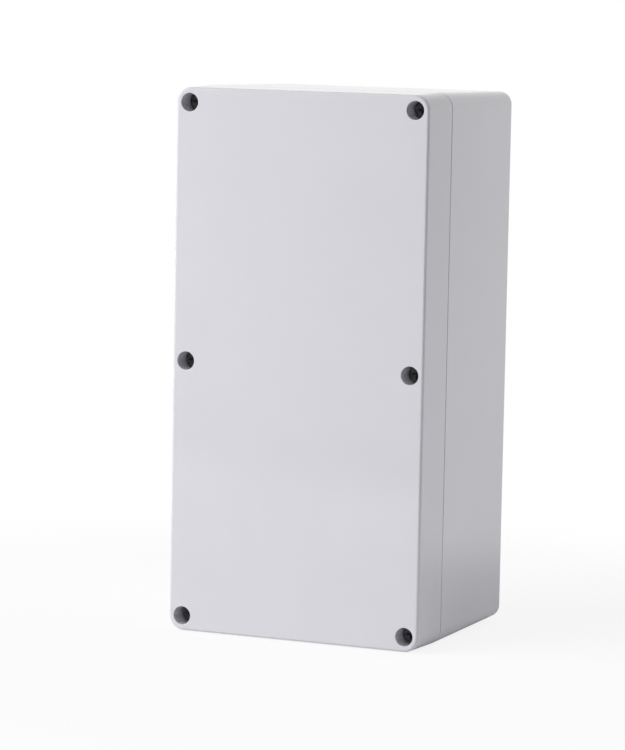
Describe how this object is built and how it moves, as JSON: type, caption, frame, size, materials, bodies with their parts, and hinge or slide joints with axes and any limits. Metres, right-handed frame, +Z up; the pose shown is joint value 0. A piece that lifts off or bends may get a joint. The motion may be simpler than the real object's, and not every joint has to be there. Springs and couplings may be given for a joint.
{
  "type": "electronics enclosure",
  "caption": "Tall light grey moulded electronics enclosure: a drafted base, a deep lid on captive screws, a gasket seal and wall-fixing channels outside it.",
  "frame": {"origin": "bottom centre of the box as it stands on a short end", "axes": "+Z up along the box's length, +Y out of the back that goes on a wall, -Y out of the lid, +X to the right as seen from the lid"},
  "size_m": [0.12, 0.1, 0.24],
  "materials": {
    "housing": "smooth light grey moulded plastic with a soft gloss",
    "screws": "dark grey polyamide",
    "gasket": "dark grey foamed seal",
    "inserts": "turned brass",
    "rings": "black rubber"
  },
  "bodies": {
    "base": {"base": "housing", "threaded_insert_top_left": "inserts", "threaded_insert_top_right": "inserts", "threaded_insert_middle_left": "inserts", "threaded_insert_middle_right": "inserts", "threaded_insert_bottom_left": "inserts", "threaded_insert_bottom_right": "inserts"},
    "lid": {"lid": "housing", "gasket": "gasket", "retaining_ring_top_left": "rings", "retaining_ring_top_right": "rings", "retaining_ring_middle_left": "rings", "retaining_ring_middle_right": "rings", "retaining_ring_bottom_left": "rings", "retaining_ring_bottom_right": "rings"},
    "screw_top_left": {"lid_screw_top_left": "screws"},
    "screw_top_right": {"lid_screw_top_right": "screws"},
    "screw_middle_left": {"lid_screw_middle_left": "screws"},
    "screw_middle_right": {"lid_screw_middle_right": "screws"},
    "screw_bottom_left": {"lid_screw_bottom_left": "screws"},
    "screw_bottom_right": {"lid_screw_bottom_right": "screws"}
  },
  "joints": [
    {"name": "lid_lift", "type": "slide", "parent": "base", "child": "lid", "axis": [0, -1, 0], "range_m": [0, 0.06]},
    {"name": "screw_top_left_turn", "type": "hinge", "parent": "lid", "child": "screw_top_left", "pos_m": [-0.0532, -0.05, 0.233], "axis": [0, -1, 0], "continuous": true},
    {"name": "screw_top_right_turn", "type": "hinge", "parent": "lid", "child": "screw_top_right", "pos_m": [0.0532, -0.05, 0.233], "axis": [0, -1, 0], "continuous": true},
    {"name": "screw_middle_left_turn", "type": "hinge", "parent": "lid", "child": "screw_middle_left", "pos_m": [-0.0532, -0.05, 0.12], "axis": [0, -1, 0], "continuous": true},
    {"name": "screw_middle_right_turn", "type": "hinge", "parent": "lid", "child": "screw_middle_right", "pos_m": [0.0532, -0.05, 0.12], "axis": [0, -1, 0], "continuous": true},
    {"name": "screw_bottom_left_turn", "type": "hinge", "parent": "lid", "child": "screw_bottom_left", "pos_m": [-0.0532, -0.05, 0.007], "axis": [0, -1, 0], "continuous": true},
    {"name": "screw_bottom_right_turn", "type": "hinge", "parent": "lid", "child": "screw_bottom_right", "pos_m": [0.0532, -0.05, 0.007], "axis": [0, -1, 0], "continuous": true}
  ]
}
